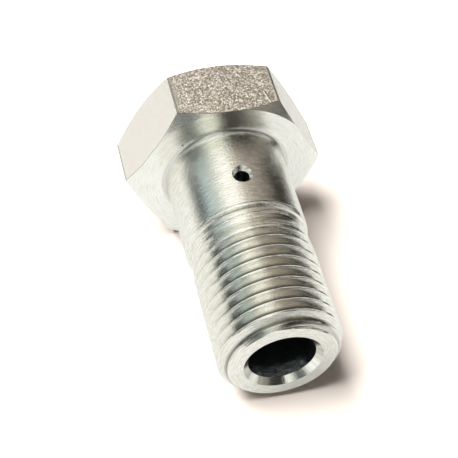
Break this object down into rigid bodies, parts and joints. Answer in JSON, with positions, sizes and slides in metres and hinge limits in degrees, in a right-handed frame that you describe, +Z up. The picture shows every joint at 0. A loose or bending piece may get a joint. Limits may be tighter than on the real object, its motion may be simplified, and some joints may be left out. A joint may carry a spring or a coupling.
{
  "type": "banjo bolt",
  "caption": "Hollow hexagon-head bolt with a plain shank, a rolled pipe thread, an open axial bore and a small countersunk cross drilling; lying on a flat as it comes to rest.",
  "frame": {"origin": "on the floor, under the middle of the bolt's box, with the bolt lying as it comes to rest on the lower flat of its head and the last turn of its thread", "axes": "+Z up, the way the cross drilling points; +Y towards the head; the tip points along -Y and about 7.1 degrees down to the floor"},
  "size_m": [0.022, 0.0342, 0.0197],
  "materials": {
    "zinc_plated_steel": "bright zinc plating over turned and rolled steel"
  },
  "bodies": {
    "root": {"banjo_bolt": "zinc_plated_steel"}
  },
  "joints": []
}
